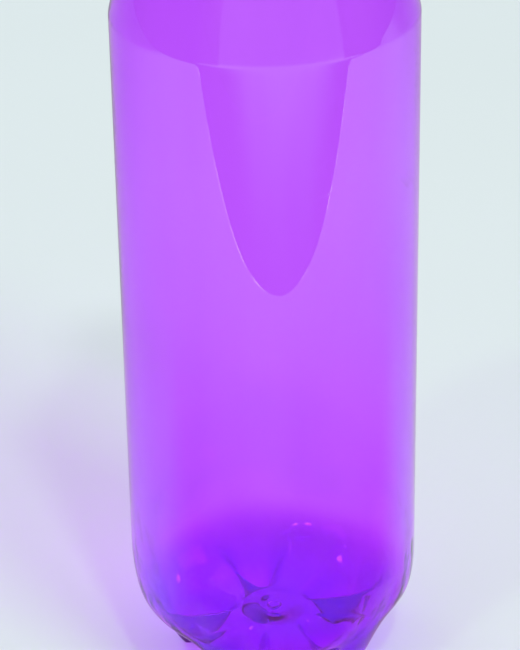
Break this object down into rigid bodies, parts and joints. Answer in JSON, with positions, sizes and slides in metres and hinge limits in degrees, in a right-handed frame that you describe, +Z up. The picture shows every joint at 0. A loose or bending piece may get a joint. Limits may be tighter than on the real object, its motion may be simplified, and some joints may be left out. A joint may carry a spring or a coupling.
{
  "type": "plastic drinks bottle",
  "caption": "Tall blow-moulded clear plastic drinks bottle with a lobed foot base, domed shoulder, threaded neck, screw cap with liner, and a loose tamper band.",
  "frame": {"origin": "on the floor under the bottle's axis", "axes": "+Z up along the bottle's axis to the mouth; -Y looks out of a valley between two feet"},
  "size_m": [0.088, 0.088, 0.3122],
  "materials": {
    "pet": "transparent violet, blow moulded, glossy",
    "cap": "opaque violet, moulded with a fine grain",
    "liner": "soft pale compound"
  },
  "bodies": {
    "bottle": {"bottle": "pet"},
    "liner": {"seal_liner": "liner"},
    "cap": {"cap_shell": "cap"},
    "band": {"tamper_band": "cap"}
  },
  "joints": [
    {"name": "cap_rise", "type": "slide", "parent": "bottle", "child": "liner", "axis": [0, 0, 1], "range_m": [0, 0.0162]},
    {"name": "cap_turn", "type": "hinge", "parent": "liner", "child": "cap", "pos_m": [0, 0, 0.3048], "axis": [0, 0, 1], "range_deg": [0, 2160]},
    {"name": "band_turn", "type": "hinge", "parent": "bottle", "child": "band", "pos_m": [0, 0, 0.2975], "axis": [0, 0, 1], "continuous": true}
  ],
  "couplings": [
    {"joint": "cap_rise", "follows": "cap_turn", "m_per_rad": 0.00042972}
  ]
}
